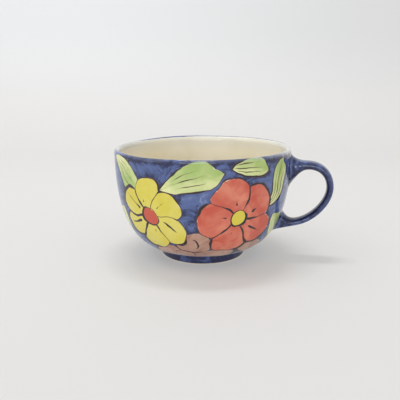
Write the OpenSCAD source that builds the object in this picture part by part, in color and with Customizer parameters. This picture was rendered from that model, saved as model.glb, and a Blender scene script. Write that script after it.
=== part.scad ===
// A wide, low mug for a large cup of coffee, soup or breakfast tea. It is one
// fired piece: a bowl turned with its foot ring, and a flat strap handle that
// was pressed onto the wall while the clay was soft, with a flared pad of clay
// at each end. All sizes are in millimetres. The origin is the middle of the
// ring that the mug stands on, +Z is up and the handle points along +X.

/* [Bowl] */
// Diameter across the rim
rim_d = 115; // [100:1:135]
// Height from the table to the top of the lip
cup_h = 72; // [64:0.5:90]
// How upright the side stands: a higher number gives a squarer bowl
side_fullness = 3.9; // [3.4:0.1:6]
// How early the belly turns up from the foot: a higher number is rounder
belly_fullness = 2.6; // [2.2:0.1:3.2]
// Thickness of the rounded lip
lip_t = 3.2; // [2.4:0.1:4]
// Thickness of the side wall
wall_t = 4.2; // [3.6:0.1:5.2]
// Thickness of the belly where it turns under into the floor
base_t = 4; // [3.6:0.1:5.2]
// Thickness of the floor over the hollow under the foot
floor_t = 5; // [4:0.1:6]

/* [Foot] */
// Outer diameter of the foot ring where it meets the table
foot_d = 57; // [50:1:64]
// Height of the foot ring under the belly
foot_h = 4.4; // [4:0.1:8]
// Width of the foot ring's standing face, with its rounded edges
foot_w = 4; // [3:0.1:6]
// How far the foot ring leans in from the belly down to the table
foot_lean = 0.6; // [0:0.1:1.5]
// Radius of the rounded edges of the foot ring
foot_round = 0.9; // [0.4:0.1:1.3]
// Reach of the hollow curve between the foot ring and the belly
foot_fillet = 1.8; // [1:0.1:3]

/* [Handle] */
// How far the handle stands out from the rim
handle_reach = 27.5; // [22:0.5:34]
// Width of the strap from side to side where it leaves the upper pad
handle_w = 12.5; // [9:0.5:15]
// Thickness of the strap where it leaves the upper pad
handle_t = 4.9; // [3.6:0.1:5.6]
// How much slimmer the strap is at its lower end, as a share
handle_taper = 0.28; // [0:0.02:0.4]
// Depth of the upper pad's middle below the lip
root_drop = 14.6; // [13:0.2:18]
// Height of the lower pad's middle above the table
root_low = 24; // [20:0.2:27]
// Height at which the handle stands out furthest
elbow_z = 47; // [42:0.2:50]
// How strongly the strap climbs away from the upper pad
crown_rise = 9; // [6:0.2:12]
// How strongly the strap dips away from the lower pad
heel_dip = 7.2; // [4:0.2:8]
// Height of the upper pad on the wall
pad_top_h = 20.6; // [16:0.2:23]
// Height of the lower pad on the wall
pad_low_h = 14.2; // [12:0.2:18]
// Width of both pads on the wall
pad_w = 18; // [15:0.5:22]
// Length over which a pad draws in to the strap
pad_reach = 12; // [8:0.5:14]

/* [Hidden] */
$fn = 96;

rim_r = rim_d / 2;
foot_r = foot_d / 2;
lip_r = lip_t / 2;
side_h = cup_h - lip_r;
belly_h = side_h - foot_h;
recess_z = foot_h + base_t - floor_t;

// The side follows one curve. share runs from 0 under the middle of the
// belly to 1 at the lip.
function side_r(share) = rim_r * pow(1 - pow(1 - share, belly_fullness), 1 / side_fullness);
function side_z(share) = foot_h + belly_h * share;
function wall_r(z) = side_r((z - foot_h) / belly_h);
function share_at(r) = 1 - pow(1 - pow(r / rim_r, side_fullness), 1 / belly_fullness);

// Unit vector up the wall at one share of its height, as [out, up].
function unit(v) = v / norm(v);
function wall_up(share, step = 0.0001) =
    let (low = share - step, high = min(1, share + step))
    unit([side_r(high) - side_r(low), (high - low) * belly_h]);

// Points are closer together where the belly bends most.
SIDE_STEPS = 34;
function spread(i, first) = pow(first + (1 - first) * i / SIDE_STEPS, 4);
function thickness(share) =
    wall_t + (base_t - wall_t) * pow(1 - share, 6) + (lip_t - wall_t) * pow(share, 3);

outer_start = pow(share_at(foot_r + foot_lean + foot_fillet), 1 / 4);
outer_side = [for (i = [0:SIDE_STEPS - 1])
    let (s = spread(i, outer_start)) [side_r(s), side_z(s)]];

// The inside lies one wall thickness in from the outside, square to it.
inner_start = 0.13;
inner_side = [for (i = [0:SIDE_STEPS - 1])
    let (s = spread(i, inner_start), up = wall_up(s), t = thickness(s))
    [side_r(s) - up[1] * t, side_z(s) + up[0] * t]];
inner_floor_z = foot_h + base_t;

lip = [for (a = [0:15:180])
    [rim_r - lip_r + lip_r * cos(a), side_h + lip_r * sin(a)]];

// Foot ring, drawn from the middle of the hollow out to the belly.
ring_in = foot_r - foot_w;
ring_top = foot_r + foot_lean;
ring_top_z = foot_h + belly_h * share_at(ring_top);
ring_bend = [ring_top, ring_top_z];
ring_side = [ring_top - foot_lean * 0.25, foot_h - foot_fillet * 0.6];
ring_belly = outer_side[0];
FOOT_STEPS = 6;
function bend(a, b, c, t) = (1 - t) * (1 - t) * a + 2 * (1 - t) * t * b + t * t * c;
foot_curve = [for (i = [0:FOOT_STEPS - 1]) bend(ring_side, ring_bend, ring_belly, i / FOOT_STEPS)];
foot_edge_out = [for (a = [-90:22.5:0])
    [foot_r - foot_round + foot_round * cos(a), foot_round + foot_round * sin(a)]];
foot_edge_in = [for (a = [180:22.5:270])
    [ring_in + foot_round + foot_round * cos(a), foot_round + foot_round * sin(a)]];
recess_round = min(1.2, recess_z - foot_round - 0.1);
recess_corner = [for (a = [90:-22.5:0])
    [ring_in - 0.3 - recess_round + recess_round * cos(a),
     recess_z - recess_round + recess_round * sin(a)]];

bowl_section = concat(
    [[0, recess_z]], recess_corner, foot_edge_in, foot_edge_out, foot_curve,
    outer_side, lip, [for (i = [SIDE_STEPS - 1:-1:0]) inner_side[i]],
    [[0, inner_floor_z]]);

module bowl() {
    rotate_extrude() polygon(bowl_section);
}

// Handle. Its middle line is two curves that meet at the elbow, where the
// strap stands upright. Each end stops inside the wall, half way through it.
ROOT_SINK = 1.9;
top_share = (cup_h - root_drop - foot_h) / belly_h;
low_share = (root_low - foot_h) / belly_h;
function into_wall(share) =
    let (up = wall_up(share))
    [side_r(share) - up[1] * ROOT_SINK, side_z(share) + up[0] * ROOT_SINK];
top_root = into_wall(top_share);
low_root = into_wall(low_share);

// The strap slims evenly from its upper end, where along is 0, to its lower end.
function slim(along) = 1 - handle_taper * along;
elbow = [rim_r + handle_reach - slim(0.5) * handle_t / 2, elbow_z];

// How far each curve's two inner control points lie from its ends, as shares
// of the curve's own width and height.
CROWN_REACH = 0.6;
CROWN_FALL = 0.62;
HEEL_FALL = 0.36;
HEEL_REACH = 0.56;
top_line = [
    top_root,
    [top_root[0] + (elbow[0] - top_root[0]) * CROWN_REACH, top_root[1] + crown_rise],
    [elbow[0], elbow[1] + (top_root[1] + crown_rise - elbow[1]) * CROWN_FALL],
    elbow];
low_line = [
    elbow,
    [elbow[0], elbow[1] - (elbow[1] - low_root[1] + heel_dip) * HEEL_FALL],
    [low_root[0] + (elbow[0] - low_root[0]) * HEEL_REACH, low_root[1] - heel_dip],
    low_root];

function curve_at(p, t) =
    pow(1 - t, 3) * p[0] + 3 * pow(1 - t, 2) * t * p[1]
    + 3 * (1 - t) * t * t * p[2] + pow(t, 3) * p[3];
function curve_way(p, t) =
    unit(pow(1 - t, 2) * (p[1] - p[0]) + 2 * (1 - t) * t * (p[2] - p[1])
    + t * t * (p[3] - p[2]));

// A pad is tall and wide on the wall and draws in to the strap.
function draw_in(d) = pow(max(0, 1 - d / pad_reach), 2.3);
function blend(a, b, k) = unit(a * k + b * (1 - k));

// One ring of the strap: its middle, its way across, and its two half sizes.
// The way across points out of the loop, and turns from square to the strap
// to flat on the wall: side is 1 where that is up the wall and -1 down it.
function strap_ring(p, t, root, share, pad_h, side) =
    let (
        c = curve_at(p, t),
        way = curve_way(p, t),
        k = draw_in(max(0, norm(c - root) - ROOT_SINK)),
        across = blend(side * wall_up(share), [-way[1], way[0]], sqrt(k)),
        along = side > 0 ? t / 2 : (1 + t) / 2,
        thick = handle_t * slim(along),
        wide = handle_w * slim(along))
    [c, across,
     thick / 2 + (pad_h - thick) / 2 * k,
     wide / 2 + (pad_w - wide) / 2 * k];

// Steps along each half of the handle, closer together at the wall.
HALF_STEPS = 17;
top_rings = [for (i = [0:HALF_STEPS])
    strap_ring(top_line, pow(i / HALF_STEPS, 1.35), top_root, top_share, pad_top_h, 1)];
low_rings = [for (i = [1:HALF_STEPS])
    strap_ring(low_line, 1 - pow(1 - i / HALF_STEPS, 1.35), low_root, low_share, pad_low_h, -1)];
rings = concat(top_rings, low_rings);

// The strap's section is an oval, a little fuller than an ellipse.
SECTION_POINTS = 20;
OVAL = 2.3;
function oval(a) = [
    sign(cos(a)) * pow(abs(cos(a)), 2 / OVAL),
    sign(sin(a)) * pow(abs(sin(a)), 2 / OVAL)];
strap_points = [for (ring = rings) for (j = [0:SECTION_POINTS - 1])
    let (
        o = oval(360 * j / SECTION_POINTS),
        p = ring[0] + ring[1] * ring[2] * o[0])
    [p[0], ring[3] * o[1], p[1]]];

LAST = len(rings) - 1;
function at(i, j) = i * SECTION_POINTS + j % SECTION_POINTS;
strap_faces = concat(
    [[for (j = [SECTION_POINTS - 1:-1:0]) at(0, j)]],
    [for (i = [0:LAST - 1]) for (j = [0:SECTION_POINTS - 1]) [at(i, j), at(i, j + 1), at(i + 1, j)]],
    [for (i = [0:LAST - 1]) for (j = [0:SECTION_POINTS - 1]) [at(i, j + 1), at(i + 1, j + 1), at(i + 1, j)]],
    [[for (j = [0:SECTION_POINTS - 1]) at(LAST, j)]]);

module handle() {
    polyhedron(points = strap_points, faces = strap_faces, convexity = 6);
}

module mug() {
    color([0.17, 0.21, 0.4]) union() {
        bowl();
        handle();
    }
}

mug();
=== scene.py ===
"""A wide hand-painted mug with a strap handle: one fired piece in several glazes."""

import math

import bmesh
import bpy
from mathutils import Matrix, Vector


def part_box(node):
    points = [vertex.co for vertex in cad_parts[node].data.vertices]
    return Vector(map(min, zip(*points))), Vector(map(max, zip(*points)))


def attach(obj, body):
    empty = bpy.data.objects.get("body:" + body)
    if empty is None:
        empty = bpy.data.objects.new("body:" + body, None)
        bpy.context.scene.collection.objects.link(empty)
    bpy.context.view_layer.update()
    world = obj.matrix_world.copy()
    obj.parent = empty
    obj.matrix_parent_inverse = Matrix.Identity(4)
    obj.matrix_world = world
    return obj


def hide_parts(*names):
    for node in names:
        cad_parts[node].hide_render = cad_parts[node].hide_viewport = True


bl_info = {
    "name": "Painted mug",
    "version": (1, 0, 0),
    "blender": (4, 5, 0),
    "location": "3D Viewport > Sidebar > Mug",
    "description": "Builds a wide glazed mug with brushed decoration",
    "category": "Add Mesh",
}

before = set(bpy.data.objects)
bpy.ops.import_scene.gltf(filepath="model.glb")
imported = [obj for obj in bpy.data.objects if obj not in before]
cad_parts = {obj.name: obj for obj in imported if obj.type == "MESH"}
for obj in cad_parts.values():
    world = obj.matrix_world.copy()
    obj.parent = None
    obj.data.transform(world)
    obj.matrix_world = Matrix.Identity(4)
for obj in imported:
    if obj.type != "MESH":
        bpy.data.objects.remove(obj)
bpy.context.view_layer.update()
NODE_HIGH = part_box("mug")[1]
MM = 0.001
TURN = 2 * math.pi


def paint(red, green, blue):
    """A paint colour given as it looks on a screen, 0 to 255, as Blender's linear light."""
    def linear(level):
        share = level / 255
        return share / 12.92 if share <= 0.04045 else ((share + 0.055) / 1.055) ** 2.4
    return (linear(red), linear(green), linear(blue), 1.0)


def size(name, description, default, low=0.0001, high=1.0):
    """A length that the sidebar shows in the scene's units."""
    return bpy.props.FloatProperty(
        name=name, description=description, default=default, min=low, max=high,
        unit="LENGTH", subtype="DISTANCE", precision=4)


def angle_of(name, description, degrees):
    """An angle that the sidebar shows in degrees."""
    return bpy.props.FloatProperty(
        name=name, description=description, default=math.radians(degrees),
        unit="ROTATION", subtype="ANGLE")


def colour(name, description, default):
    """A colour with a swatch in the sidebar."""
    return bpy.props.FloatVectorProperty(
        name=name, description=description, default=default, size=4, min=0.0, max=1.0, subtype="COLOR")


class MugSizes(bpy.types.PropertyGroup):
    """Sizes of the bowl, the foot and the handle"""

    rim_radius: size("Rim radius", "Radius across the outside of the rim", round(NODE_HIGH[1], 4))
    height: size("Height", "Height from the table to the top of the lip", round(NODE_HIGH[2], 5))
    lip: size("Lip", "Thickness of the rounded lip", 3.2 * MM)
    wall: size("Wall", "Thickness of the side wall", 4.2 * MM)
    base: size("Belly", "Thickness of the belly where it turns under", 4.0 * MM)
    floor: size("Floor", "Thickness of the floor", 5.0 * MM)
    foot_radius: size("Foot radius", "Outer radius of the foot ring on the table", 28.5 * MM)
    foot_height: size("Foot height", "Height of the foot ring under the belly", 4.4 * MM)
    foot_width: size("Foot width", "Width of the foot ring's standing face", 4.0 * MM)
    foot_lean: size("Foot lean", "How far the foot ring leans in to the table", 0.6 * MM)
    handle_reach: size("Handle reach", "From the axis to the handle's outermost face", round(NODE_HIGH[0], 4))
    strap_width: size("Strap width", "Width of the strap at the upper pad", 12.5 * MM)
    strap_thickness: size("Strap thickness", "Thickness of the strap at the upper pad", 4.9 * MM)
    root_drop: size("Upper root", "Depth of the upper pad's middle below the lip", 14.6 * MM)
    root_low: size("Lower root", "Height of the lower pad's middle above the table", 24.0 * MM)
    elbow_height: size("Elbow", "Height at which the handle stands out furthest", 47.0 * MM)
    crown_rise: size("Crown", "How strongly the strap climbs away from the upper pad", 9.0 * MM)
    heel_dip: size("Heel", "How strongly the strap dips away from the lower pad", 7.2 * MM)
    pad_top: size("Upper pad", "Height of the upper pad on the wall", 20.6 * MM)
    pad_low: size("Lower pad", "Height of the lower pad on the wall", 14.2 * MM)
    pad_width: size("Pad width", "Width of both pads on the wall", 18.0 * MM)
    pad_reach: size("Pad reach", "Length over which a pad draws in to the strap", 12.0 * MM)
    strap_taper: bpy.props.FloatProperty(
        name="Strap taper", description="How much slimmer the strap's lower end is",
        default=0.28, min=0.0, max=0.5)


class MugPaints(bpy.types.PropertyGroup):
    """Colours of the glazes and of the painted decoration"""

    cream: colour("Cream glaze", "Inside and bare glaze", paint(237, 228, 208))
    cobalt_thick: colour("Cobalt, thick", "Ground where the brush left most", paint(27, 32, 70))
    cobalt: colour("Cobalt", "Ground as most of it looks", paint(80, 97, 146))
    cobalt_thin: colour("Cobalt, thin", "Ground where the brush ran dry", paint(136, 147, 180))
    coral: colour("Coral", "Large blooms", paint(194, 80, 60))
    coral_wash: colour("Coral wash", "Watered coral", paint(216, 128, 102))
    yellow: colour("Yellow", "Large blooms", paint(212, 196, 66))
    yellow_wash: colour("Yellow wash", "Watered yellow", paint(218, 204, 100))
    leaf: colour("Leaf green", "Leaves", paint(160, 184, 102))
    leaf_wash: colour("Leaf wash", "Watered leaf green", paint(222, 222, 160))
    clay: colour("Pinkish brown", "Pebbles along the foot", paint(150, 103, 86))
    clay_wash: colour("Pinkish wash", "Watered pinkish brown", paint(190, 150, 130))
    ink: colour("Outline", "Dark brush lines", paint(30, 22, 30))
    ink_thin: colour("Outline, thin", "Thin and dry parts of the brush lines", paint(84, 46, 40))
    # Painted shade: this grey darkens the inner lip and the top of the inside, and at the lip's left and
    # right ends it stands for glare, a painted reflection.
    lip_shade_and_glare: colour("Lip shade and glare", "Inner side of the lip, greyed by painted shade and glare", paint(202, 199, 191))
    body: colour("Bare clay", "Unglazed standing face of the foot", paint(206, 190, 164))


class StageLook(bpy.types.PropertyGroup):
    """The pale floor, the soft light and the camera"""

    distance: size("Camera distance", "From the mug's axis to the camera, over the floor", 0.330, 0.1, 3.0)
    camera_height: size("Camera height", "Height of the camera above the table", 0.1198, 0.0, 3.0)
    azimuth: angle_of("Azimuth", "How far the camera is turned round the mug", 11)
    pitch: angle_of("Pitch", "How far the camera looks down", 14.46)
    lens: bpy.props.FloatProperty(
        name="Lens", description="Focal length in millimetres on a 36 mm sensor",
        default=45.4, min=10, max=200)
    floor: colour("Floor", "Paper sweep", (0.45, 0.435, 0.418, 1.0))


# How much wider than a round lip the inner side of the lip is, in millimetres.
LIP_SHOULDER = 0.75
# How far the cage stands out under the belly, in millimetres.
BELLY_FULLER = 0.8
# How much squarer, thicker and wider the strap's cage is. Subdivision takes this off again.
STRAP_SQUARENESS = 0.8
STRAP_FULLER = 0.14
STRAP_WIDER = 1.02
# How far the opening in the wall reaches past its pad, up the wall and round it, in millimetres.
PAD_MARGIN_UP = 0.4
PAD_MARGIN_ROUND = 0.5
# How much deeper the lip lies at the back, in millimetres, and where round the mug.
BACK_DIP = 0.9
BACK_DIP_AT = math.radians(160)
# Columns of the bowl's grid, its cells from a pad's middle to its edge, and the points of a strap ring.
SECTORS = 72
PAD_CELLS = 2
RING = 16


class Form:
    """The mug's curves in millimetres, from the sizes in the sidebar."""

    SIDE_FULLNESS = 3.9
    BELLY_FULLNESS = 2.6
    ROOT_SINK = 1.9
    OVAL = 2.3
    DRAW_IN = 2.3
    # How far the inner control points of the handle's two curves lie from their ends, as shares.
    CROWN_REACH = 0.6
    CROWN_FALL = 0.62
    HEEL_FALL = 0.36
    HEEL_REACH = 0.56

    def __init__(self, sizes):
        for name in MugSizes.__annotations__:
            setattr(self, name, getattr(sizes, name) / MM)
        self.strap_taper = sizes.strap_taper
        self.lip_radius = self.lip / 2
        self.side_top = self.height - self.lip_radius
        self.belly = self.side_top - self.foot_height
        self.top_share = self.share(self.height - self.root_drop)
        self.low_share = self.share(self.root_low)

    def side_r(self, share):
        share = min(1.0, max(0.0, share))
        return self.rim_radius * (1 - (1 - share) ** self.BELLY_FULLNESS) ** (1 / self.SIDE_FULLNESS)

    def side_z(self, share):
        return self.foot_height + self.belly * share

    def share(self, z):
        return (z - self.foot_height) / self.belly

    def wall_up(self, share, step=0.0001):
        """Unit direction up the wall, as (out, up)."""
        low, high = share - step, min(1.0, share + step)
        return Vector((self.side_r(high) - self.side_r(low), (high - low) * self.belly)).normalized()

    def thickness(self, share):
        belly, lip = self.base - self.wall, self.lip + LIP_SHOULDER - self.wall
        return self.wall + belly * (1 - share) ** 6 + lip * share ** 3

    def into_wall(self, share, depth):
        """The point that lies one depth in from the outside, square to it, as (out, up)."""
        up = self.wall_up(share)
        return Vector((self.side_r(share) - up.y * depth, self.side_z(share) + up.x * depth))

    def fuller(self, z):
        """A point of the outside's cage, pushed out under the belly by what subdivision takes off there."""
        share = self.share(z)
        return self.into_wall(share, -BELLY_FULLER * max(0.0, 1 - share / 0.5))

    def handle_lines(self):
        """The two curves of the handle's middle line, each as four control points (out, up)."""
        top = self.into_wall(self.top_share, self.ROOT_SINK)
        low = self.into_wall(self.low_share, self.ROOT_SINK)
        elbow = Vector((self.handle_reach - self.slim(0.5) * self.strap_thickness / 2, self.elbow_height))
        crown, heel = top.y + self.crown_rise, low.y - self.heel_dip
        upper = (top, Vector((top.x + (elbow.x - top.x) * self.CROWN_REACH, crown)),
                 Vector((elbow.x, elbow.y + (crown - elbow.y) * self.CROWN_FALL)), elbow)
        lower = (elbow, Vector((elbow.x, elbow.y - (elbow.y - heel) * self.HEEL_FALL)),
                 Vector((low.x + (elbow.x - low.x) * self.HEEL_REACH, heel)), low)
        return upper, lower

    def slim(self, along):
        """The strap slims evenly from its upper end, where along is 0, to its lower end."""
        return 1 - self.strap_taper * along


def curve_at(points, t):
    """A point of a curve with four control points."""
    a, b, c, d = points
    return a * (1 - t) ** 3 + b * 3 * t * (1 - t) ** 2 + c * 3 * t * t * (1 - t) + d * t ** 3


def curve_way(points, t):
    """The direction in which that curve runs."""
    a, b, c, d = points
    return ((b - a) * (1 - t) ** 2 + (c - b) * 2 * t * (1 - t) + (d - c) * t * t).normalized()


def oval(angle, fullness=Form.OVAL):
    """A point of an oval that is fuller than an ellipse, as (across, up)."""
    return tuple(math.copysign(abs(part) ** (2 / fullness), part)
                 for part in (math.cos(angle), math.sin(angle)))


def arc(out, up, half_width, half_height, turns):
    """Points of an oval round (out, up), one for each turn in degrees."""
    return [(out + half_width * math.cos(math.radians(turn)), up + half_height * math.sin(math.radians(turn)))
            for turn in turns]


# Bowl and handle


def bowl_rows(form):
    """Rings of the bowl's cage, as (radius, height) in millimetres, and the rows at which its parts begin.

    They run from the hollow under the foot up the outside, over the lip and down inside.
    """
    foot, ring_in = form.foot_radius, form.foot_radius - form.foot_width
    hollow = form.foot_height + form.base - form.floor
    under = [(0, hollow), (9, hollow), (17, hollow), (ring_in - 2.2, hollow), (ring_in - 0.9, hollow - 0.15),
             (ring_in - 0.25, hollow - 1.0), (ring_in, 1.5)]
    stand = [(ring_in + 0.2, 0.55), (ring_in + 0.85, 0), (foot - form.foot_width / 2, 0), (foot - 0.85, 0),
             (foot - 0.2, 0.55)]
    side = [(foot + 0.05, 1.5), (foot + form.foot_lean * 0.5, 3.0), (foot + form.foot_lean, 4.7),
            (foot + form.foot_lean + 0.5, 5.75)]

    belly = [6.8, 7.7, 9.2, 11.4, 14.2]
    cells = range(-PAD_CELLS, PAD_CELLS + 1)
    low_rise = form.wall_up(form.low_share).y * form.pad_low / 2
    low_rows = [form.root_low + low_rise * step / PAD_CELLS for step in cells]
    top_z = form.height - form.root_drop
    top_rows = [top_z + form.pad_top / 2 * step / PAD_CELLS for step in cells]
    between = [low_rows[-1] + (top_rows[0] - low_rows[-1]) * share for share in (0.25, 0.5, 0.75)]
    outer = [tuple(form.fuller(z)) for z in belly + low_rows + between + top_rows]
    outer += [(form.rim_radius, form.side_top - 0.9)]

    # Inside, the lip falls away in a longer curve, where a turner's finger has smoothed it.
    lip_r, crest = form.lip_radius + 0.07, form.rim_radius - form.lip_radius
    fall, reach = 3.5, form.lip_radius + LIP_SHOULDER
    lip = arc(crest, form.side_top, lip_r, lip_r, (12, 42, 68, 90))
    lip += arc(crest, form.side_top + lip_r - fall, reach, fall, (112, 130, 146, 160, 173))
    steps = (0.975, 0.95, 0.915, 0.87, 0.82, 0.77, 0.715, 0.66, 0.6, 0.54, 0.475, 0.41, 0.34)
    shares = [step ** 3.2 for step in steps]
    inside = [tuple(form.into_wall(share, form.thickness(share))) for share in shares]
    floor_z = form.foot_height + form.base
    inside += [(20, floor_z + 0.06), (12, floor_z), (5, floor_z), (0, floor_z)]

    marks = {"bare": len(under), "foot": len(under) + len(stand) - 1}
    marks["junction"] = len(under) + len(stand) + len(side)
    marks["low_pad"] = marks["junction"] + len(belly)
    marks["top_pad"] = marks["low_pad"] + len(low_rows) + len(between)
    marks["inside"] = marks["top_pad"] + len(top_rows) + len(lip)
    return under + stand + side + outer + lip + inside, marks


def climb_of(rows, junction):
    """Length along the profile from the top of the foot, in millimetres."""
    steps = [0.0]
    for (r0, z0), (r1, z1) in zip(rows, rows[1:]):
        steps.append(steps[-1] + math.hypot(r1 - r0, z1 - z0))
    return [step - steps[junction] for step in steps]


def ring_edges(loop):
    """The edges of a closed loop of vertices."""
    return [next(edge for edge in a.link_edges if edge.other_vert(a) is b)
            for a, b in zip(loop, loop[1:] + loop[:1])]


def pad_loop(bm, grid, form, row, share, pad_height):
    """Opens the wall where a pad grows out of it. Returns the opening's edge, drawn to the pad's outline."""
    n = PAD_CELLS
    block = {grid[row + n + i, j % SECTORS] for i in range(-n, n + 1) for j in range(-n, n + 1)}
    faces = [face for face in bm.faces if block.issuperset(face.verts)]
    outline = ([(i, n) for i in range(0, n)] + [(n, j) for j in range(n, -n, -1)]
               + [(i, -n) for i in range(n, -n, -1)] + [(-n, j) for j in range(-n, n)]
               + [(i, n) for i in range(-n, 0)])
    loop = [grid[row + n + i, j % SECTORS] for i, j in outline]
    bmesh.ops.delete(bm, geom=faces, context="FACES")
    rise_of_wall = form.wall_up(share).y
    for index, vert in enumerate(loop):
        out, rise = oval(TURN * index / RING)
        z = form.side_z(share) + rise_of_wall * rise * (pad_height / 2 + PAD_MARGIN_UP)
        radius = form.side_r(form.share(z))
        angle = out * (form.pad_width / 2 + PAD_MARGIN_ROUND) / radius
        vert.co = Vector((radius * math.cos(angle), radius * math.sin(angle), z))
    return loop


def strap_rings(form):
    """The handle's cage: each ring's middle, way across, half sizes, nearness to the wall and way from it."""
    upper, lower = form.handle_lines()
    steps = [(upper, t, upper[0], form.top_share, form.pad_top, 1)
             for t in (0.062, 0.095, 0.135, 0.18, 0.235, 0.31, 0.42, 0.55, 0.7, 0.85)]
    steps += [(lower, t, lower[3], form.low_share, form.pad_low, -1)
              for t in (0.0, 0.14, 0.28, 0.42, 0.55, 0.66, 0.75, 0.82, 0.87, 0.91, 0.945)]
    rings = []
    for points, t, root_point, share, pad, side in steps:
        middle, way = curve_at(points, t), curve_way(points, t)
        away = max(0.0, (middle - root_point).length - form.ROOT_SINK)
        near = max(0.0, 1 - away / form.pad_reach) ** form.DRAW_IN
        flat, square = form.wall_up(share) * side, Vector((-way.y, way.x))
        across = (flat * math.sqrt(near) + square * (1 - math.sqrt(near))).normalized()
        slim = form.slim(t / 2 if side > 0 else (1 + t) / 2)
        thick, wide = form.strap_thickness * slim, form.strap_width * slim
        half_thick = (thick + (pad - thick) * near) / 2 * (1 + STRAP_FULLER * (1 - near))
        half_wide = (wide + (form.pad_width - wide) * near) / 2 * STRAP_WIDER
        rings.append((middle, across, half_thick, half_wide, near, away))
    return rings


def uneven(point, height):
    """The small unevenness of a hand-finished cup, in millimetres: none at the foot and most at the lip."""
    angle = math.atan2(point.y, point.x)
    lift = max(0.0, point.z / height) ** 2
    swell = 0.16 * math.sin(2 * angle + 0.7) + 0.08 * math.sin(3 * angle + 2.1)
    wave = 0.16 * math.sin(2 * angle + 2.4) + 0.12 * math.sin(3 * angle - 0.4) + 0.05 * math.sin(7 * angle)
    wave -= BACK_DIP * max(0.0, math.cos(angle - BACK_DIP_AT)) ** 8
    away = Vector((math.cos(angle), math.sin(angle), 0.0))
    return point + away * swell * lift + Vector((0, 0, wave * lift))


# Places of the glazes in the mug's list of materials.
UNDER, BARE, OUTSIDE, INSIDE, HANDLE = range(5)


def spin_bowl(bm, rows, marks, climbs, layers):
    """Turns the profile into the bowl with its glazes, and returns its vertices by row and column."""
    row_mark = layers["row"]
    profile = [bm.verts.new((r, 0, z)) for r, z in rows]
    for row, vert in enumerate(profile):
        vert[row_mark] = row
        vert[layers["climb"]] = climbs[row]
    lines = [bm.edges.new(pair) for pair in zip(profile, profile[1:])]
    bmesh.ops.spin(bm, geom=profile + lines, cent=(0, 0, 0), axis=(0, 0, 1), angle=TURN, steps=SECTORS,
                   use_merge=True, use_duplicate=False)
    bmesh.ops.remove_doubles(bm, verts=bm.verts, dist=0.001)
    grid = {}
    for vert in bm.verts:
        column = round(math.atan2(vert.co.y, vert.co.x) / TURN * SECTORS) % SECTORS
        grid[vert[row_mark], column] = vert
    for face in bm.faces:
        row = min(vert[row_mark] for vert in face.verts)
        face.material_index = (UNDER if row < marks["bare"] - 1 else BARE if row < marks["foot"]
                               else OUTSIDE if row < marks["inside"] else INSIDE)
    return grid


def strap_loops(bm, form, climb, layers):
    """The rings of the strap, as loops of vertices from the upper pad to the lower one."""
    loops = []
    for middle, across, half_thick, half_wide, near, away in strap_rings(form):
        made = bmesh.ops.create_circle(bm, cap_ends=False, segments=RING, radius=1)["verts"]
        made.sort(key=lambda v: math.atan2(v.co.y, v.co.x) % TURN)
        for index, vert in enumerate(made):
            angle = TURN * index / RING
            outer_side = angle < math.pi
            out, rise = oval(angle, form.OVAL + (STRAP_SQUARENESS * (1 - near) if outer_side else 0))
            place = middle + across * rise * half_thick
            width = out * half_wide
            hug = near * width * width / (2 * form.rim_radius)
            vert.co = Vector((place.x - hug, width, place.y))
            vert[layers["climb"]] = climb
            vert[layers["leaving"]] = away
            vert[layers["edge"]] = abs(out) ** 3
            vert[layers["outer"]] = rise
        loops.append(made)
    return loops


def add_mesh(name, bm, materials):
    """Puts a finished bmesh in the scene as an object with its materials."""
    mesh = bpy.data.meshes.new(name)
    bm.to_mesh(mesh)
    bm.free()
    for material in materials:
        mesh.materials.append(material)
    piece = bpy.data.objects.new(name, mesh)
    bpy.context.scene.collection.objects.link(piece)
    return piece


def make_mug(sizes, materials):
    """The whole mug as one closed mesh: the profile is spun, opened at the pads and bridged to the strap."""
    form = Form(sizes)
    rows, marks = bowl_rows(form)
    climbs = climb_of(rows, marks["junction"])
    bm = bmesh.new()
    layers = {name: bm.verts.layers.float.new(name) for name in ("climb", "seam", "leaving", "edge", "outer")}
    layers["row"] = bm.verts.layers.int.new("row")
    grid = spin_bowl(bm, rows, marks, climbs, layers)

    top_loop = pad_loop(bm, grid, form, marks["top_pad"], form.top_share, form.pad_top)
    low_loop = pad_loop(bm, grid, form, marks["low_pad"], form.low_share, form.pad_low)
    for vert in top_loop + low_loop:
        vert[layers["seam"]] = 1.0
    loops = [top_loop] + strap_loops(bm, form, climbs[marks["top_pad"]], layers) + [low_loop]
    bowl_faces = set(bm.faces)
    for first, second in zip(loops, loops[1:]):
        bmesh.ops.bridge_loops(bm, edges=ring_edges(first) + ring_edges(second))
    for face in bm.faces:
        face.smooth = True
        if face not in bowl_faces:
            face.material_index = HANDLE

    for vert in bm.verts:
        vert.co = uneven(vert.co, form.height) * MM
    bmesh.ops.recalc_face_normals(bm, faces=bm.faces)
    piece = add_mesh("mug_body", bm, materials)
    finish = piece.modifiers.new("Smooth clay", "SUBSURF")
    finish.levels = finish.render_levels = 2
    return piece


# Shader building blocks


class Field:
    """A number, point or colour that changes over a surface. Sums with a number become Math nodes."""

    def __init__(self, tree, socket):
        self.tree = tree
        self.socket = socket

    def __add__(self, other):
        return maths(self.tree, "ADD", self, other)

    def __sub__(self, other):
        return maths(self.tree, "SUBTRACT", self, other)

    def __rsub__(self, other):
        return maths(self.tree, "SUBTRACT", other, self)

    def __mul__(self, other):
        return maths(self.tree, "MULTIPLY", self, other)

    def __truediv__(self, other):
        return maths(self.tree, "DIVIDE", self, other)

    def __rtruediv__(self, other):
        return maths(self.tree, "DIVIDE", other, self)

    def __pow__(self, other):
        return maths(self.tree, "POWER", self, other)

    def __abs__(self):
        return maths(self.tree, "ABSOLUTE", self)

    __radd__ = __add__
    __rmul__ = __mul__


def put(value, socket):
    """Links a field to a socket, or sets a plain value on it."""
    if isinstance(value, Field):
        value.tree.links.new(value.socket, socket)
    elif hasattr(value, "__len__"):
        socket.default_value = tuple(value)
    else:
        socket.default_value = value


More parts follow.
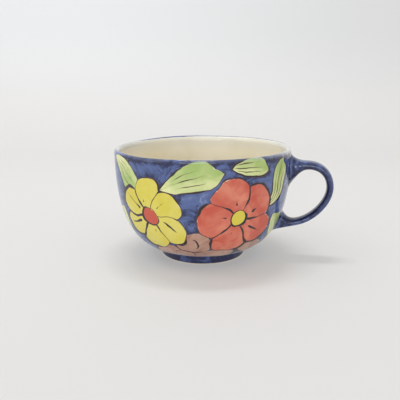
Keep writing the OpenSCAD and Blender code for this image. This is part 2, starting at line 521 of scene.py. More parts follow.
def maths(tree, operation, *values):
    """A Math node on plain numbers and fields."""
    node = tree.nodes.new("ShaderNodeMath")
    node.operation = operation
    for value, socket in zip(values, node.inputs):
        put(value, socket)
    return Field(tree, node.outputs[0])


def sine(field):
    return maths(field.tree, "SINE", field)


def cosine(field):
    return maths(field.tree, "COSINE", field)


def length_of(x, y):
    """How far (x, y) lies from the middle."""
    return maths(x.tree, "SQRT", x * x + y * y)


def angle_at(x, y):
    """Where (x, y) lies round the middle."""
    return maths(x.tree, "ARCTAN2", y, x)


def lesser(field, other):
    return maths(field.tree, "MINIMUM", field, other)


def greater(field, other):
    return maths(field.tree, "MAXIMUM", field, other)


def fraction(field):
    return maths(field.tree, "FRACT", field)


def ramp(field, low, high, start=0.0, end=1.0):
    """Runs smoothly from start, where the field is low, to end, where it is high."""
    node = field.tree.nodes.new("ShaderNodeMapRange")
    node.interpolation_type = "SMOOTHSTEP"
    for given, socket in zip((field, low, high, start, end), node.inputs):
        put(given, socket)
    return Field(field.tree, node.outputs[0])


def mix(share, first, second):
    """The first colour where share is 0 and the second where it is 1."""
    node = share.tree.nodes.new("ShaderNodeMix")
    node.data_type = "RGBA"
    put(share, node.inputs[0])
    put(first, node.inputs[6])
    put(second, node.inputs[7])
    return Field(share.tree, node.outputs[2])


def vectors(operation, first, *others):
    """A Vector Math node. Scale takes its factor as the last value."""
    node = first.tree.nodes.new("ShaderNodeVectorMath")
    node.operation = operation
    sockets = (node.inputs[0], node.inputs["Scale"]) if operation == "SCALE" else node.inputs
    for value, socket in zip((first, *others), sockets):
        put(value, socket)
    return Field(first.tree, node.outputs["Value" if operation == "DOT_PRODUCT" else "Vector"])


def grain(point, scale, detail=2.0, rough=0.5, colours=False):
    """Soft random clouds: one number, or three of them as a colour."""
    node = point.tree.nodes.new("ShaderNodeTexNoise")
    put(point, node.inputs["Vector"])
    node.inputs["Scale"].default_value = scale
    node.inputs["Detail"].default_value = detail
    node.inputs["Roughness"].default_value = rough
    return Field(point.tree, node.outputs["Color" if colours else "Fac"])


def combine(x, y, z):
    """A point, from three numbers."""
    node = x.tree.nodes.new("ShaderNodeCombineXYZ")
    for value, socket in zip((x, y, z), node.inputs):
        put(value, socket)
    return Field(x.tree, node.outputs[0])


def parts(field, kind):
    """The outputs of a node that takes a field apart."""
    node = field.tree.nodes.new(kind)
    put(field, node.inputs[0])
    return tuple(Field(field.tree, socket) for socket in node.outputs)


def separate(point):
    """The x, y and z of a point."""
    return parts(point, "ShaderNodeSeparateXYZ")


def channels(colours):
    """The three numbers of a colour, without the conversion that a vector socket would add."""
    return parts(colours, "ShaderNodeSeparateColor")


def read(tree, name):
    """A number that the mesh carries on its vertices."""
    node = tree.nodes.new("ShaderNodeAttribute")
    node.attribute_name = name
    return Field(tree, node.outputs["Fac"])


def spot_of(tree):
    """The point on the object, in metres."""
    return Field(tree, tree.nodes.new("ShaderNodeTexCoord").outputs["Object"])


# Node groups. A socket is a number unless its name is listed here.

KINDS = {"Point": "NodeSocketVector", "Thick": "NodeSocketColor", "Middle": "NodeSocketColor",
         "Thin": "NodeSocketColor", "Colour": "NodeSocketColor"}


def title(name):
    """The name of a socket, from the name of an argument."""
    return name.replace("_", " ").capitalize()


def open_group(name, inputs):
    """A new shader node group, and its inputs in their order."""
    tree = bpy.data.node_groups.new(name, "ShaderNodeTree")
    for socket in inputs:
        tree.interface.new_socket(socket, in_out="INPUT", socket_type=KINDS.get(socket, "NodeSocketFloat"))
    source = tree.nodes.new("NodeGroupInput")
    return tree, [Field(tree, socket) for socket in source.outputs if socket.name]


def close_group(tree, **outputs):
    """Gives a node group its outputs and returns it."""
    for name in outputs:
        kind = KINDS.get(title(name), "NodeSocketFloat")
        tree.interface.new_socket(title(name), in_out="OUTPUT", socket_type=kind)
    sink = tree.nodes.new("NodeGroupOutput")
    for name, value in outputs.items():
        put(value, sink.inputs[title(name)])
    return tree


def use(tree, group, **inputs):
    """Places a node group and returns its outputs by name."""
    node = tree.nodes.new("ShaderNodeGroup")
    node.node_tree = group
    for name, value in inputs.items():
        put(value, node.inputs[title(name)])
    return {socket.name: Field(tree, socket) for socket in node.outputs}


def group_place():
    """Millimetres along and across from a motif's centre, turned with it. The motif repeats round the mug."""
    tree, given = open_group("Motif place", (
        "Angle", "Radius", "Climb", "Centre angle", "Centre climb", "Tilt", "Half period"))
    angle, radius, climb, centre_angle, centre_climb, tilt, half_period = given
    away = maths(tree, "WRAP", angle - centre_angle, half_period, half_period * -1.0)
    right, up = away * radius, climb - centre_climb
    cos_tilt, sin_tilt = cosine(tilt), sine(tilt)
    return close_group(tree, along=right * cos_tilt + up * sin_tilt, across=up * cos_tilt - right * sin_tilt)


# A distance in millimetres beyond the reach of every line and edge.
FAR = 50.0
# Where a petal's vein starts, as a share of the bloom's size.
VEIN_START = 0.36


def group_bloom():
    """A round bloom of broad petals, as distances in millimetres, with a random tone for each petal."""
    tree, given = open_group("Bloom", ("Along", "Across", "Size", "Petals", "Heart", "Curl", "Seed"))
    x, y, full_size, petals, heart_size, curl, seed = given
    reach = length_of(x, y)
    share = reach / full_size
    cells = (angle_at(x, y) + curl * share) * (petals / TURN)
    cell = maths(tree, "FLOOR", cells)
    within = cells - cell - 0.5
    number = maths(tree, "FLOORED_MODULO", cell, petals)
    luck = fraction(sine(maths(tree, "MULTIPLY_ADD", number, 2.3, seed)) * 43.7)
    lean = fraction(luck * 17.3) * 0.3 - 0.15
    # Each petal is drawn in where it meets the next, and is as full as its luck has it.
    beside = abs(within) * 2.0
    outline = full_size * (luck * 0.1 + 0.93) * (beside ** 2.8 * -0.22 + 1.0)
    edge = (reach - outline) * 0.8
    half_petal = math.pi / petals
    heart = reach - heart_size
    # The lines between the petals run from the heart to the outline and no further.
    inside_heart = maths(tree, "LESS_THAN", heart, 0.0) * FAR
    beyond = maths(tree, "GREATER_THAN", edge, 0.0) * FAR
    gap = reach * sine((1.0 - beside) * half_petal) + (inside_heart + beyond)
    line = lesser(lesser(abs(edge), gap), abs(heart))
    # A vein starts a third of the way out and thins towards the tip.
    off = abs((within - lean) * (half_petal * 2.0) * reach)
    short = greater((VEIN_START - share) * full_size, 0.0)
    fading = greater(share - VEIN_START, 0.0) * 2.4
    vein = off + short + (fading + luck * 0.22)
    return close_group(tree, edge=edge, line=line, vein=vein, heart_edge=heart, tone=luck, reach=share)


def group_teardrop():
    """A teardrop, round at one end, drawn in at the other and bent, as a distance in millimetres."""
    tree, given = open_group("Teardrop", ("Along", "Across", "Half length", "Half width", "Taper", "Bend"))
    along, across, half_length, half_width, taper, bend = given
    u = along / half_length
    off = across - bend * (1.0 - u * u)
    drawn = greater(u * taper + 1.0, 0.15)
    breadth = half_width * drawn
    v = off / breadth
    level = maths(tree, "SQRT", u * u + v * v + 0.0001)
    slope_u = (u - v * v * taper / drawn) / half_length
    slope_v = v / breadth
    edge = level * (level - 1.0) / greater(length_of(slope_u, slope_v), 0.004)
    return close_group(tree, edge=edge)


# How much fuller than a plain curve a leaf's sides are.
BLADE_FULLNESS = 0.45


def group_blade():
    """A leaf, pointed at both ends and fuller towards one of them, with a bent middle line."""
    tree, given = open_group("Leaf blade", (
        "Along", "Across", "Half length", "Half width", "Taper", "Bend", "Sway"))
    along, across, half_length, half_width, taper, bend, sway = given
    u = along / half_length
    square = u * u
    short = 1.0 - square
    off = across - bend * short - sway * sine(u * 3.0)
    lean = greater(u * taper + 1.0, 0.3)
    full = short * (square * BLADE_FULLNESS + 1.0)
    breadth = half_width * (full * lean)
    fall = u * 2.0 * (square * (-2.0 * BLADE_FULLNESS) + (BLADE_FULLNESS - 1.0))
    slope = (fall * lean + full * taper) * (half_width / half_length)
    edge = (abs(off) - breadth) / maths(tree, "SQRT", slope * slope + 1.0)
    inner = greater(breadth, 0.6)
    return close_group(tree, edge=edge, u=u, v=off / inner, breadth=inner)


def tapered(off, reach, limit, weight):
    """A stroke that thins towards its ends, where reach is 1, and stops a little past them."""
    return off + reach ** 2.0 * weight + maths(off.tree, "GREATER_THAN", reach, limit) * FAR


def group_streak():
    """A brush stroke laid along a leaf, at a share of its breadth, between two shares of its length."""
    tree, given = open_group("Streak", ("U", "V", "Breadth", "Share", "Start", "End", "Weight"))
    u, v, breadth, share, start, end, weight = given
    middle, half = (start + end) * 0.5, (end - start) * 0.5
    return close_group(tree, distance=tapered(abs(v - share) * breadth, abs(u - middle) / half, 1.4, weight))


def group_curl():
    """A curled brush stroke: part of a circle, thick in the middle and tapered to both ends."""
    tree, given = open_group("Curl", ("Along", "Across", "Radius", "Half turn", "Weight"))
    x, y, radius, half_turn, weight = given
    off, turn = abs(length_of(x, y) - radius), abs(angle_at(x, y)) / half_turn
    return close_group(tree, distance=tapered(off, turn, 1.3, weight))


def group_stroke():
    """Where a brush line of uneven width covers the surface, and where it is thick enough to be black."""
    tree, (distance, width, unevenness) = open_group("Brush line", ("Distance", "Width", "Unevenness"))
    depth = width * unevenness - distance
    return close_group(tree, mask=ramp(depth, -0.08, 0.14), core=ramp(depth, 0.02, 0.4))


# How far apart two dabs read their bristles, and how far the patches wander, in millimetres each way.
DAB_APART = (60.0, 60.0, 60.0)
DAB_WANDER = (10.0, 10.0, 10.0)


def dabs(point, spread, length, width, seed):
    """Brush dabs laid in patches, each in its own direction: the bristle marks and a tone for each dab."""
    tree = point.tree
    shift = (seed, seed * 0.7, seed * 1.3)
    cells = tree.nodes.new("ShaderNodeTexVoronoi")
    cells.inputs["Scale"].default_value = 1 / spread
    put(vectors("ADD", point, shift), cells.inputs["Vector"])
    luck, tone, third = channels(Field(tree, cells.outputs["Color"]))
    # A dab lies level round the mug, slanted by its luck.
    x, y, _ = separate(vectors("SUBTRACT", Field(tree, cells.outputs["Position"]), shift))
    slant = luck * 2.4 - 1.2
    level = cosine(slant) / greater(length_of(x, y), 1.0)
    way = combine(y * level * -1.0, x * level, sine(slant))
    # The grain is drawn out along the dab, and read at a place of its own.
    run = vectors("DOT_PRODUCT", point, way)
    drawn = vectors("ADD", point, vectors("SCALE", way, run * (width / length - 1)))
    apart = vectors("MULTIPLY_ADD", combine(luck, tone, third), DAB_APART, drawn)
    return grain(apart, 1 / width), tone


def group_brushwork():
    """Overlapping dabs of a loaded brush, from 0 where it ran dry to 1 where it left most."""
    tree, (point,) = open_group("Brushwork", ("Point",))
    drift = channels(grain(point, 1 / 17, detail=1.0, colours=True))
    bent = vectors("MULTIPLY_ADD", combine(*drift), DAB_WANDER, point)
    first, tone_one = dabs(bent, spread=19.0, length=26.0, width=4.2, seed=3.0)
    second, tone_two = dabs(bent, spread=14.0, length=18.0, width=3.0, seed=41.0)
    cloud = grain(point, 1 / 12)
    upper = ramp(cloud + (tone_two - 0.5) * 0.35, 0.46, 0.54)
    one = tone_one * 0.28 + first * 0.7
    two = tone_two * 0.28 + second * 0.7
    load = (one * (1.0 - upper) + two * upper) * 0.7 + cloud * 0.3
    wash = cloud * 0.55 + one * 0.45
    hair = lesser(abs(first - 0.5), abs(second - 0.47))
    return close_group(tree, load=ramp(load, 0.35, 0.66), wash=ramp(wash, 0.32, 0.68),
                       hair=ramp(hair, 0.026, 0.008))


def group_cobalt():
    """Brushed cobalt: three depths of blue by how much the brush left, deepened further where glaze pooled
    and where shade is painted, and thin dark hair lines in it.
    """
    tree, given = open_group("Cobalt ground", ("Load", "Hair", "Pool", "Thick", "Middle", "Thin"))
    load, hair, pool, thick, middle, thin = given
    load = load + pool + hair * 0.25
    lower = mix(ramp(load, -0.2, 0.45), thin, middle)
    return close_group(tree, colour=mix(ramp(load, 0.55, 1.35), lower, thick))


def group_glaze_skin():
    """The slow roll and fine ripple of a fired clear glaze, as a height in millimetres."""
    tree, (point, amount) = open_group("Glaze skin", ("Point", "Amount"))
    roll, ripple = grain(point, 1 / 14, detail=1.0), grain(point, 1 / 3.2)
    return close_group(tree, height=(ripple * 0.12 + roll) * amount, rough=ripple * 0.04 + 0.035)


def make_groups():
    """Every node group, made once."""
    return {"place": group_place(), "bloom": group_bloom(), "teardrop": group_teardrop(),
            "blade": group_blade(), "streak": group_streak(), "curl": group_curl(), "stroke": group_stroke(),
            "brushwork": group_brushwork(), "cobalt": group_cobalt(), "skin": group_glaze_skin()}


# Glazes

GLAZE_IOR = 1.58


def new_glaze(name):
    """A material, its surface shader and its point in millimetres."""
    material = bpy.data.materials.new(name)
    material.use_nodes = True
    tree = material.node_tree
    return material, tree.nodes["Principled BSDF"], vectors("SCALE", spot_of(tree), 1 / MM)


def bump_on(shader, height, distance):
    """Gives a surface a relief. The height is in units of the distance."""
    bump = height.tree.nodes.new("ShaderNodeBump")
    bump.inputs["Strength"].default_value = 1.0
    bump.inputs["Distance"].default_value = distance
    put(height, bump.inputs["Height"])
    put(Field(height.tree, bump.outputs[0]), shader.inputs["Normal"])


def glaze_over(groups, shader, point, amount, paint_height=0.0):
    """Gives a surface the skin, the roughness and the gloss of the fired glaze."""
    skin = use(point.tree, groups["skin"], point=point, amount=amount)
    bump_on(shader, skin["Height"] + paint_height, MM)
    put(skin["Rough"], shader.inputs["Roughness"])
    shader.inputs["IOR"].default_value = GLAZE_IOR


def deeper(tone, red, green, blue):
    """A colour with its three channels scaled."""
    return (tone[0] * red, tone[1] * green, tone[2] * blue, 1.0)


def cream_colour(paints, point):
    """Cream glaze with slow clouds of a deeper tone."""
    cloud = ramp(grain(point, 1 / 22), 0.35, 0.7)
    return mix(cloud, paints.cream, deeper(paints.cream, 0.93, 0.92, 0.86))


def inside_glaze(groups, paints):
    """Cream glaze of the inside, a little deeper towards the floor and greyed with painted shade under the
    lip.
    """
    material, shader, point = new_glaze("cream_glaze")
    height = separate(point)[2]
    floor_depth = ramp(height, 22.0, 9.0) * 0.8
    tone = mix(floor_depth, cream_colour(paints, point), deeper(paints.cream, 0.86, 0.86, 0.74))
    # Painted shade greys the top of the inside, under the lip.
    put(mix(ramp(height, 60.0, 68.0, end=0.45), tone, paints.lip_shade_and_glare), shader.inputs["Base Color"])
    glaze_over(groups, shader, point, 0.10)
    return material


def bare_clay(paints):
    """Unglazed, slightly gritty clay of the foot's standing face."""
    material, shader, point = new_glaze("bare_clay")
    grit = grain(point, 1.6, detail=3.0, rough=0.7)
    tone = mix(ramp(grit, 0.4, 0.75), paints.body, deeper(paints.body, 0.72, 0.72, 0.72))
    put(tone, shader.inputs["Base Color"])
    put(ramp(grit, 0.3, 0.7, start=0.78, end=0.95), shader.inputs["Roughness"])
    bump_on(shader, grit, MM * 0.12)
    return material


def cobalt_paints(paints):
    """The three blues that the cobalt group takes."""
    return {"thick": paints.cobalt_thick, "middle": paints.cobalt, "thin": paints.cobalt_thin}


# Distance between the ridges of clay beside the wall, in millimetres.
RIDGE_GAP = 3.6


def finger_marks(point):
    """The ridges that pressing fingers left beside the wall, from -1 to 1, fading along the strap."""
    leaving = grain(point, 1 / 6, detail=1.0) * 1.6 + read(point.tree, "leaving")
    wave = cosine(leaving * (TURN / RIDGE_GAP) - (1.5 * TURN / RIDGE_GAP + 1.4))
    return wave * ramp(leaving, 8.5, 2.0)


def handle_glaze(groups, paints):
    """Cobalt over the handle, deep all over and deeper in the valleys of the finger marks, with painted shade
    on the side of the fingers and a painted reflection on its outer face, both stronger along the edges.
    """
    material, shader, point = new_glaze("cobalt_handle")
    tree = point.tree
    load = use(tree, groups["brushwork"], point=point)["Load"] * 0.55
    outer, marks = read(tree, "outer"), finger_marks(point)
    # Painted light and shade: the outer face is lighter as a painted reflection and the side of the fingers
    # darker as painted shade, more so along the edges.
    edge_light_and_shade = read(tree, "edge") * (outer * -0.1 - 0.02)
    pool = marks * -0.35 + (outer * -0.22 + 0.9) + edge_light_and_shade
    blue = use(tree, groups["cobalt"], load=load, hair=0.0, pool=pool, **cobalt_paints(paints))["Colour"]
    put(blue, shader.inputs["Base Color"])
    glaze_over(groups, shader, point, 0.07, marks * 0.1)
    return material


# Motifs on each side of the mug. The angle goes round from the side's middle in degrees, and the height
# goes up the wall in millimetres. Then come the tilt in degrees and the motif's own sizes in millimetres.
LEAVES = (
    # angle, height, tilt, half length, half width, taper, bend, sway
    (-7, 63, 14, 19, 8.4, 0.3, 2.6, 0.6),
    (-55, 64, 152, 16.5, 7.8, -0.3, -2.0, -0.6),
    (-69, 26, 74, 16.5, 7.4, 0.3, 2.2, 0.6),
    (51, 60, 66, 15.5, 7.4, 0.3, -2.6, 0.9),
    (61, 25, -58, 16.5, 7.4, -0.3, 2.4, -0.7),
    (28, 70, -8, 13, 5.2, 0.3, 1.6, 0.7),
)
# Strokes on a leaf: the share of its breadth, where they start and end along it, and their width.
LEAF_STREAKS = (
    (0.03, -0.97, 0.85, 0.3),
    (0.5, -0.75, 0.62, 0.25),
    (-0.48, -0.7, 0.72, 0.25),
)
BLOOMS = (
    # angle, height, tilt, size, petals, heart, curl, seed, colour of the petals and of the heart, times round
    (-35, 41, 12, 24.5, 6, 5.6, 0.28, 3.0, "yellow", "coral", 2),
    (23, 41, -8, 26, 5, 5.4, -0.22, 8.0, "coral", "yellow", 2),
    (-101, 43, 30, 18.5, 5, 4.4, 0.24, 5.0, "clay", "yellow", 1),
)
PEBBLES = (
    # angle, height, tilt, half length, half width
    (-28, 13.5, 10, 10.5, 6.6),
    (40, 15, -14, 10.5, 6.4),
    (12, 12.5, -8, 10.5, 6.4),
    (-9, 12, -4, 10, 6.2),
    (-7, 23, 12, 11, 8.2),
)
# A loose curl: angle, height, tilt, radius, half turn in radians, width.
TENDRIL = (-66, 52, 190, 7, 1.1, 0.55)
# Widths of the dark lines in millimetres.
LEAF_LINE = 0.52
PETAL_LINE = 0.62
VEIN_LINE = 0.8
PEBBLE_LINE = 0.42
CURL_LINE = 0.4
# Where the middle of a painted side lies round the mug, and the lip's crest along the profile in millimetres.
SIDE_MIDDLE = math.radians(-79)
LIP_CREST = 77.4
# How far the painter's hand strays, in millimetres.
DRIFT = 7.0


class Painting:
    """Lays one motif after another, and keeps what they cover and how near the nearest one is."""

    def __init__(self, groups, paints, point):
        self.tree = point.tree
        self.groups = groups
        self.paints = paints
        x, y, _ = separate(point)
        self.radius = length_of(x, y)
        self.climb = read(self.tree, "climb")
        drift_x, drift_y, swell = channels(grain(point, 1 / 15, detail=1.5, colours=True))
        ticks = grain(point, 1 / 4, detail=1.0) * 0.5 + 0.75
        self.unevenness = ramp(swell, 0.38, 0.66, start=0.4, end=1.6) * ticks
        self.ragged = grain(point, 1 / 3.2) * 2.4 - 1.2
        brush = use(self.tree, groups["brushwork"], point=point)
        self.load, self.wash, self.hair = brush["Load"], brush["Wash"], brush["Hair"]
        # The hand's drift moves every outline, and the brush's own marks move it a little more.
        bristle = self.load * 0.2 - (DRIFT / 2 + 0.1)
        self.angle = angle_at(x, y) + (drift_x * DRIFT + bristle) / self.radius
        self.height = self.climb + (drift_y * DRIFT + bristle)
        self.colour = paints.cobalt
        self.cover = 0.0
        self.near = FAR

    def use(self, group, **inputs):
        return use(self.tree, self.groups[group], **inputs)

    def place(self, angle, height, tilt, times=2):
        """Where the surface lies from a motif's centre."""
        spot = self.use("place", angle=self.angle, radius=self.radius, climb=self.height,
                        centre_angle=SIDE_MIDDLE + math.radians(angle), centre_climb=height,
                        tilt=math.radians(tilt), half_period=math.pi / times)
        return {"along": spot["Along"], "across": spot["Across"]}

    def lay(self, mask, tone):
        self.colour = mix(mask, self.colour, tone)
        self.cover = greater(mask, self.cover)

    def fill(self, edge, paint_name, wet):
        """Bare glaze inside the outline, then a wash of colour that stops a little short of it."""
        inside = ramp(edge, 0.2, 0.0)
        self.lay(inside, self.paints.cream)
        covered = ramp(self.ragged * 0.8 + edge, 0.0, -0.4)
        tone = mix(wet, getattr(self.paints, paint_name + "_wash"), getattr(self.paints, paint_name))
        self.colour = mix(covered * inside, self.colour, tone)
        self.near = lesser(edge, self.near)

    def line(self, distance, width):
        """A dark brush line."""
        stroke = self.use("stroke", distance=distance, width=width, unevenness=self.unevenness)
        self.lay(stroke["Mask"], mix(stroke["Core"], self.paints.ink_thin, self.paints.ink))

    def leaf(self, angle, height, tilt, length, width, taper, bend, sway):
        blade = self.use("blade", half_length=length, half_width=width, taper=taper, bend=bend, sway=sway,
                         **self.place(angle, height, tilt))
        stem = ramp(blade["U"] * math.copysign(1.0, taper), -0.1, -0.9, end=0.6)
        lit = ramp(blade["V"] + self.ragged * 0.3, 0.1, -0.5, end=0.45)
        self.fill(blade["Edge"], "leaf", self.wash * 0.5 + 0.55 - stem - lit)
        self.line(abs(blade["Edge"]), LEAF_LINE)
        for share, start, end, weight in LEAF_STREAKS:
            streak = self.use("streak", u=blade["U"], v=blade["V"], breadth=blade["Breadth"], share=share,
                              start=start, end=end, weight=weight)
            self.line(streak["Distance"], weight)

    def bloom(self, angle, height, tilt, full_size, petals, heart, curl, seed,
              petal_paint, heart_paint, times):
        bloom = self.use("bloom", size=full_size, petals=petals, heart=heart, curl=curl, seed=seed,
                         **self.place(angle, height, tilt, times))
        wet = self.wash * 1.05 + (bloom["Reach"] * 0.35 - 0.1) - bloom["Tone"] * 0.25
        self.fill(bloom["Edge"], petal_paint, wet)
        middle = ramp(bloom["Heart edge"] + self.ragged, -0.1, -0.5)
        self.colour = mix(middle, self.colour, getattr(self.paints, heart_paint))
        self.line(bloom["Line"], PETAL_LINE)
        self.line(bloom["Vein"], VEIN_LINE)

    def pebble(self, angle, height, tilt, length, width):
        spot = self.place(angle, height, tilt)
        pebble = self.use("teardrop", half_length=length, half_width=width, taper=0.12, bend=0.5, **spot)
        self.fill(pebble["Edge"], "clay", self.wash)
        self.line(abs(pebble["Edge"]), PEBBLE_LINE)
        self.curl(spot, width * 0.5, 1.5, CURL_LINE)

    def curl(self, spot, radius, half_turn, width):
        curl = self.use("curl", radius=radius, half_turn=half_turn, weight=width, **spot)
        self.line(curl["Distance"], width)


def outside_glaze(groups, paints):
    """The painted outside: brushed ground, motifs with dark outlines, and colour that thins over the lip."""
    material, shader, point = new_glaze("painted_glaze")
    art = Painting(groups, paints, point)
    for leaf in LEAVES:
        art.leaf(*leaf)
    for pebble in PEBBLES:
        art.pebble(*pebble)
    for bloom in BLOOMS:
        art.bloom(*bloom)
    art.curl(art.place(*TENDRIL[:3]), *TENDRIL[3:])

    # The ground is deeper under the lip, at the handle's joints and beside the motifs, and darker on the foot
    # as painted shade under the belly.
    seam = read(art.tree, "seam")
    under_lip = ramp(art.climb + art.ragged, LIP_CREST - 6.0, LIP_CREST - 3.0, end=0.6) * (art.wash + 0.5)
    # Painted shade: the foot is darkened where the belly shades it.
    low = ramp(art.climb, 5.0, -1.0, end=0.85)
    beside = ramp(art.ragged + art.near, 3.0, 0.0, end=0.34)
    pool = under_lip + seam ** 2.0 + (low + beside)
    tone = art.use("cobalt", load=art.load, hair=art.hair, pool=pool, **cobalt_paints(paints))["Colour"]
    tone = mix(art.cover, tone, art.colour)

    # The lip was wiped bare, least at the back, where the blue runs over it. Towards its left and right ends
    # it is barer still, as a painted reflection of glare.
    x, y, _ = separate(point)
    aside = x / art.radius
    behind = ramp((x * -0.75 + y * 0.6) / art.radius, 0.2, 1.0, end=-0.8)
    wipe_and_glare = aside ** 12.0 * 0.9 + (behind + ramp(y, 5.0, 40.0, end=-0.3))
    crest = art.climb + wipe_and_glare + art.ragged * 0.25
    # Near the crest the cobalt thins where the brush ran dry; towards the left and right ends it turns paler
    # and greyer as a painted reflection of glare.
    ends = aside ** 6.0
    thin_and_glare = ramp(crest + art.ragged, LIP_CREST - 3.8, LIP_CREST - 1.0) * (art.wash * 0.35 + ends)
    tone = mix(thin_and_glare, tone, mix(ends * 0.7, paints.cobalt_thin, paints.cream))
    bare_lip = ramp(crest, LIP_CREST - 0.1, LIP_CREST + 0.35)
    tone = mix(bare_lip, tone, cream_colour(paints, point))
    # Painted shade greys the bare lip, more at its left and right ends, where it stands for glare.
    tone = mix(bare_lip * (aside ** 8.0 * 0.55 + 0.45), tone, paints.lip_shade_and_glare)
    put(tone, shader.inputs["Base Color"])
    # A shallow groove lies where each pad was pressed on.
    glaze_over(groups, shader, point, 0.12, seam ** 6.0 * -0.4)
    return material


# Stage

# The paper sweep in metres: how far it reaches in front of the mug and behind it before it bends up, the
# radius of the bend, its height and its width.
SWEEP_FRONT = 1.6
SWEEP_BACK = 0.42
SWEEP_BEND = 0.2
SWEEP_TALL = 2.6
SWEEP_WIDE = 4.4


def view_axes(look):
    """The ways to the right and away over the floor, as the camera sees them."""
    right = Vector((math.cos(look.azimuth), math.sin(look.azimuth), 0.0))
    return right, Vector((-right.y, right.x, 0.0))


def make_stage(look):
    """A seamless sweep of pale paper: flat under the mug, curving up far behind it."""
    right, away = view_axes(look)
    line = [(-SWEEP_FRONT, 0.0), (0.0, 0.0), (SWEEP_BACK, 0.0)]
    line += arc(SWEEP_BACK, SWEEP_BEND, SWEEP_BEND, SWEEP_BEND, range(-81, 1, 9))
    line.append((SWEEP_BACK + SWEEP_BEND, SWEEP_TALL))
    bm = bmesh.new()
    verts = [bm.verts.new(away * d + right * (-SWEEP_WIDE / 2) + Vector((0, 0, z))) for d, z in line]
    edges = [bm.edges.new(pair) for pair in zip(verts, verts[1:])]
    swept = bmesh.ops.extrude_edge_only(bm, edges=edges)["geom"]
    moved = [part for part in swept if isinstance(part, bmesh.types.BMVert)]
    bmesh.ops.translate(bm, vec=right * SWEEP_WIDE, verts=moved)
    bmesh.ops.recalc_face_normals(bm, faces=bm.faces)
    if min(bm.faces, key=lambda face: face.calc_center_median().z).normal.z < 0:
        bmesh.ops.reverse_faces(bm, faces=bm.faces)
    for face in bm.faces:
        face.smooth = True
    sweep = add_mesh("paper_sweep", bm, [paper(look, right)])


def paper(look, right):
    """Pale paper that glows a little, so that the shadow under the belly stays soft."""
    material = bpy.data.materials.new("paper")
    material.use_nodes = True
    shader = material.node_tree.nodes["Principled BSDF"]
    spot = spot_of(material.node_tree)
    put(mix(grain(spot, 1.3, detail=1.0), look.floor, deeper(look.floor, 0.985, 0.985, 0.985)),
        shader.inputs["Base Color"])
    shader.inputs["Roughness"].default_value = 0.75
    side = vectors("DOT_PRODUCT", spot, right)
    risen = ramp(separate(spot)[2], 0.0, 0.2)
    # The paper's glow is painted light: warmer on the floor and cooler up the sweep, a little stronger to the
    # right on the floor and to the left up the sweep.
    put(mix(risen, (1.0, 0.975, 0.945, 1.0), (0.92, 0.965, 1.0, 1.0)), shader.inputs["Emission Color"])
    flat = ramp(side, -0.1, 0.15, start=0.272, end=0.285)
    wall = ramp(side, -0.3, 0.35, start=0.34, end=0.25)
    put(flat * (1.0 - risen) + wall * risen, shader.inputs["Emission Strength"])
    return material


COOL = (0.8, 0.9, 1.0)
SKY = (0.85, 0.92, 1.0)
WARM = (1.0, 0.98, 0.94)
# Name, place and aim as the camera sees them in metres, then width, height, power in watts and tint.
LIGHTS = (
    ("overhead_softbox", (-0.25, 0.15, 1.1), (0, 0.1, 0), 1.1, 0.8, 0.2, (1.0, 0.97, 0.93)),
    ("backdrop_softbox", (-0.65, -0.1, 1.0), (-0.05, 0.7, 0.58), 0.6, 0.5, 2.3, (0.82, 0.9, 1.0)),
    ("left_softbox", (-1.1, -0.1, 0.5), (0, 0, 0.04), 0.6, 0.7, 0.6, (0.96, 1.0, 0.96)),
    ("left_low_softbox", (-1.0, -0.5, 0.2), (0, 0, 0.02), 0.5, 0.3, 0.8, WARM),
    ("right_low_softbox", (1.0, -0.4, 0.2), (0, 0, 0.02), 0.5, 0.3, 0.8, WARM),
    ("back_window_1", (0.0, 0.1, 1.0), (0, 0, 0.03), 0.24, 0.09, 2.6, SKY),
    ("back_window_2", (-0.21, 0.1, 1.0), (0, 0, 0.03), 0.11, 0.09, 1.1, SKY),
    ("window_pane_1", (-0.95, -2.1, 0.4), (0, 0, 0.06), 0.3, 0.62, 4.2, COOL),
    ("window_pane_2", (-0.52, -2.1, 0.4), (0, 0, 0.06), 0.34, 0.62, 4.2, COOL),
    ("window_pane_3", (-0.05, -2.1, 0.4), (0, 0, 0.06), 0.44, 0.62, 4.0, COOL),
    ("window_pane_4", (0.42, -2.1, 0.4), (0, 0, 0.06), 0.36, 0.62, 3.2, COOL),
)


def make_lights(look):
    """A pale tent all round, weak soft lights, four window panes behind the camera and two over the mug.

    The panes in front give the light streaks on the outside, and the two above those inside the lip.
    """
    world = bpy.data.worlds.new("tent")
    world.use_nodes = True
    tent = world.node_tree.nodes["Background"]
    tent.inputs["Color"].default_value = (1.0, 0.98, 0.965, 1.0)
    tent.inputs["Strength"].default_value = 0.63
    bpy.context.scene.world = world
    right, away = view_axes(look)

    def seen(x, y, z):
        return right * x + away * y + Vector((0, 0, z))
    for name, place, aim, width, height, power, tint in LIGHTS:
        data = bpy.data.lights.new(name, "AREA")
        data.shape = "RECTANGLE"
        data.size = width
        data.size_y = height
        data.energy = power
        data.color = tint
        lamp = bpy.data.objects.new(name, data)
        lamp.location = seen(*place)
        lamp.rotation_euler = (seen(*aim) - seen(*place)).to_track_quat("-Z", "Y").to_euler()
        bpy.context.scene.collection.objects.link(lamp)


# The photograph's frame in pixels, how far its middle lies from the lens's axis, and how far it is tilted.
FRAME_PIXELS = 400
OFF_AXIS_X = -2.6
OFF_AXIS_Y = 0.8
CAMERA_ROLL = math.radians(0.13)


def make_camera(look):
    """The camera at the photograph's viewing angle."""
    data = bpy.data.cameras.new("camera")
    data.sensor_width = 36.0
    data.lens = look.lens
    data.shift_x = OFF_AXIS_X / FRAME_PIXELS
    data.shift_y = OFF_AXIS_Y / FRAME_PIXELS
    data.clip_start = 0.01
    data.clip_end = 20.0
    camera = bpy.data.objects.new("camera", data)
    _, away = view_axes(look)
    camera.location = away * -look.distance + Vector((0, 0, look.camera_height))
    camera.rotation_euler = (math.pi / 2 - look.pitch, CAMERA_ROLL, look.azimuth)
    bpy.context.scene.collection.objects.link(camera)
    bpy.context.scene.camera = camera


# Operators and panel


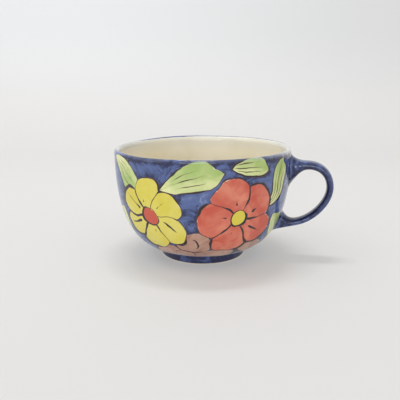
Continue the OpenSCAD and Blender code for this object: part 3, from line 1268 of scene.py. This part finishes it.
class MUG_OT_build_stage(bpy.types.Operator):
    """Adds the paper sweep, the soft lights and the camera"""

    bl_idname = "mug.build_stage"
    bl_label = "Build stage"
    bl_options = {"REGISTER", "UNDO"}

    def execute(self, context):
        look = context.scene.mug_stage
        make_stage(look)
        make_lights(look)
        make_camera(look)
        context.scene.view_settings.view_transform = "Standard"
        return {"FINISHED"}


class MUG_OT_build_mug(bpy.types.Operator):
    """Models the mug in one piece and gives it its glazes"""

    bl_idname = "mug.build_mug"
    bl_label = "Build mug"
    bl_options = {"REGISTER", "UNDO"}

    def execute(self, context):
        paints = context.scene.mug_paints
        groups = make_groups()
        inside = inside_glaze(groups, paints)
        materials = {UNDER: inside, BARE: bare_clay(paints), OUTSIDE: outside_glaze(groups, paints),
                     INSIDE: inside, HANDLE: handle_glaze(groups, paints)}
        piece = make_mug(context.scene.mug_sizes, materials.values())
        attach(piece, "root")
        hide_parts("mug")
        return {"FINISHED"}


class MUG_PT_panel(bpy.types.Panel):
    """Sizes, paints and buttons for the mug"""

    bl_idname = "MUG_PT_panel"
    bl_label = "Painted mug"
    bl_space_type = "VIEW_3D"
    bl_region_type = "UI"
    bl_category = "Mug"

    def draw(self, context):
        scene = context.scene
        for heading, settings in (("Sizes", scene.mug_sizes), ("Paints", scene.mug_paints),
                                  ("Stage", scene.mug_stage)):
            box = self.layout.box()
            box.label(text=heading)
            for name in type(settings).__annotations__:
                box.prop(settings, name)
        self.layout.operator(MUG_OT_build_stage.bl_idname)
        self.layout.operator(MUG_OT_build_mug.bl_idname)


CLASSES = (MugSizes, MugPaints, StageLook, MUG_OT_build_stage, MUG_OT_build_mug, MUG_PT_panel)


def register():
    for cls in CLASSES:
        bpy.utils.register_class(cls)
    bpy.types.Scene.mug_sizes = bpy.props.PointerProperty(type=MugSizes)
    bpy.types.Scene.mug_paints = bpy.props.PointerProperty(type=MugPaints)
    bpy.types.Scene.mug_stage = bpy.props.PointerProperty(type=StageLook)


def unregister():
    del bpy.types.Scene.mug_stage
    del bpy.types.Scene.mug_paints
    del bpy.types.Scene.mug_sizes
    for cls in reversed(CLASSES):
        bpy.utils.unregister_class(cls)


def main():
    register()
    bpy.ops.mug.build_stage()
    bpy.ops.mug.build_mug()


if __name__ == "__main__":
    main()
